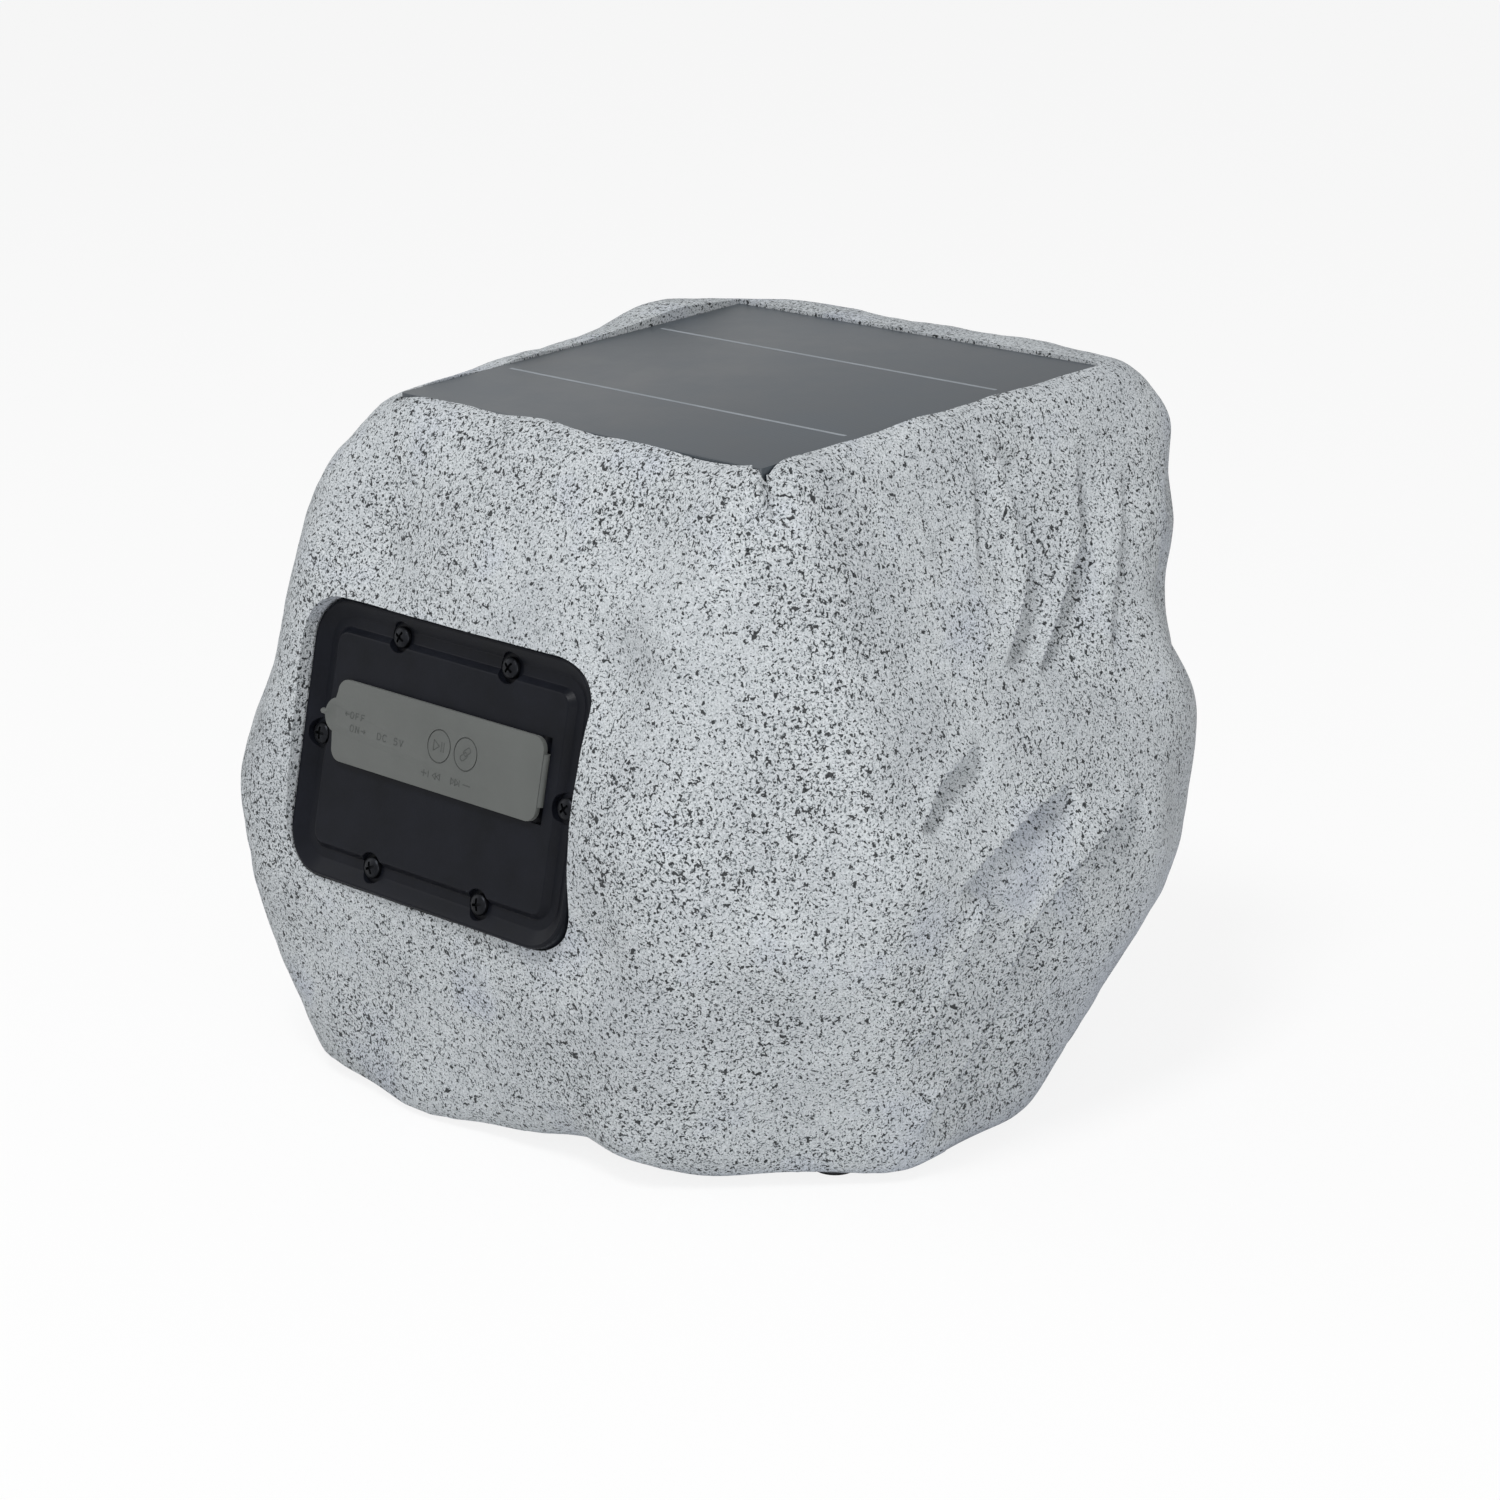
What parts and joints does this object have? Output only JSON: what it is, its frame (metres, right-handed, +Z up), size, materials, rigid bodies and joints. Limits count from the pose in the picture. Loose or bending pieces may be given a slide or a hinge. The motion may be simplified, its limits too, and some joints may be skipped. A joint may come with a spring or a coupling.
{
  "type": "rock shaped garden speaker",
  "caption": "Hollow boulder shaped outdoor speaker with a solar panel in its top, a sealed control plate with a rubber port cover on one side and a round grille on the other.",
  "frame": {"origin": "on the floor under the middle of the boulder's bounding box", "axes": "+Z up, +Y out of the side with the control plate, -Y out of the grille's side"},
  "size_m": [0.2251, 0.2111, 0.1981],
  "materials": {
    "cast_stone_resin": "stone speckle paint",
    "black_abs": "satin moulded",
    "grey_silicone": "matte moulded silicone",
    "panel_laminate": "clear epoxy over silicon cells",
    "foam_tape": "closed cell foam",
    "black_steel": "black coated",
    "zinc_steel": "zinc or nickel plated",
    "white_nylon": "moulded",
    "green_laminate": "solder mask",
    "cell_wrap": "shrink sleeve",
    "ferrite": "sintered ferrite",
    "pulp_paper": "pressed paper pulp",
    "rubber": "matte black",
    "treated_cloth": "resin treated cloth",
    "copper": "enamelled copper winding"
  },
  "bodies": {
    "speaker": {"rock_shell": "cast_stone_resin", "control_plate": "black_abs", "grille_ring": "black_abs", "base_plate": "black_abs", "battery_tray": "black_abs", "solar_panel": "panel_laminate", "panel_tape": "foam_tape", "grille": "black_steel", "driver_basket": "black_steel", "plate_screw_1": "black_steel", "plate_screw_2": "black_steel", "plate_screw_3": "black_steel", "plate_screw_4": "black_steel", "plate_screw_5": "black_steel", "plate_screw_6": "black_steel", "driver_screw_1": "black_steel", "driver_screw_2": "black_steel", "driver_screw_3": "black_steel", "driver_screw_4": "black_steel", "base_screw_1": "black_steel", "base_screw_2": "black_steel", "base_screw_3": "black_steel", "base_screw_4": "black_steel", "base_screw_5": "black_steel", "base_screw_6": "black_steel", "board_screw_1": "zinc_steel", "board_screw_2": "zinc_steel", "board_screw_3": "zinc_steel", "board_screw_4": "zinc_steel", "switch_body": "zinc_steel", "charge_socket": "zinc_steel", "left_push_switch": "zinc_steel", "right_push_switch": "zinc_steel", "driver_top_plate": "zinc_steel", "driver_yoke": "zinc_steel", "circuit_board": "green_laminate", "battery_cell_1": "cell_wrap", "battery_cell_2": "cell_wrap", "driver_magnet": "ferrite", "plate_gasket": "rubber", "driver_gasket": "rubber", "driver_surround": "rubber", "foot_1": "rubber", "foot_2": "rubber", "foot_3": "rubber", "foot_4": "rubber", "driver_spider": "treated_cloth"},
    "cover": {"port_cover": "grey_silicone"},
    "power_slider": {"switch_knob": "white_nylon"},
    "left_key": {"left_button": "white_nylon"},
    "right_key": {"right_button": "white_nylon"},
    "cone": {"driver_cone": "pulp_paper", "dust_cap": "pulp_paper", "voice_coil": "copper"}
  },
  "joints": [
    {"name": "cover_hinge", "type": "hinge", "parent": "speaker", "child": "cover", "pos_m": [-0.02106, 0.09617, 0.10572], "axis": [0, -0.2045, 0.9789], "range_deg": [0, 120]},
    {"name": "power_slide", "type": "slide", "parent": "speaker", "child": "power_slider", "axis": [-1, 0, 0], "range_m": [0, 0.0025]},
    {"name": "left_press", "type": "slide", "parent": "speaker", "child": "left_key", "axis": [0, -0.9789, -0.2045], "range_m": [0, 0.0005], "stiffness_N_per_m": 900},
    {"name": "right_press", "type": "slide", "parent": "speaker", "child": "right_key", "axis": [0, -0.9789, -0.2045], "range_m": [0, 0.0005], "stiffness_N_per_m": 900},
    {"name": "cone_stroke", "type": "slide", "parent": "speaker", "child": "cone", "axis": [0, -0.9945, 0.1045], "range_m": [-0.002, 0.002], "stiffness_N_per_m": 1500}
  ]
}
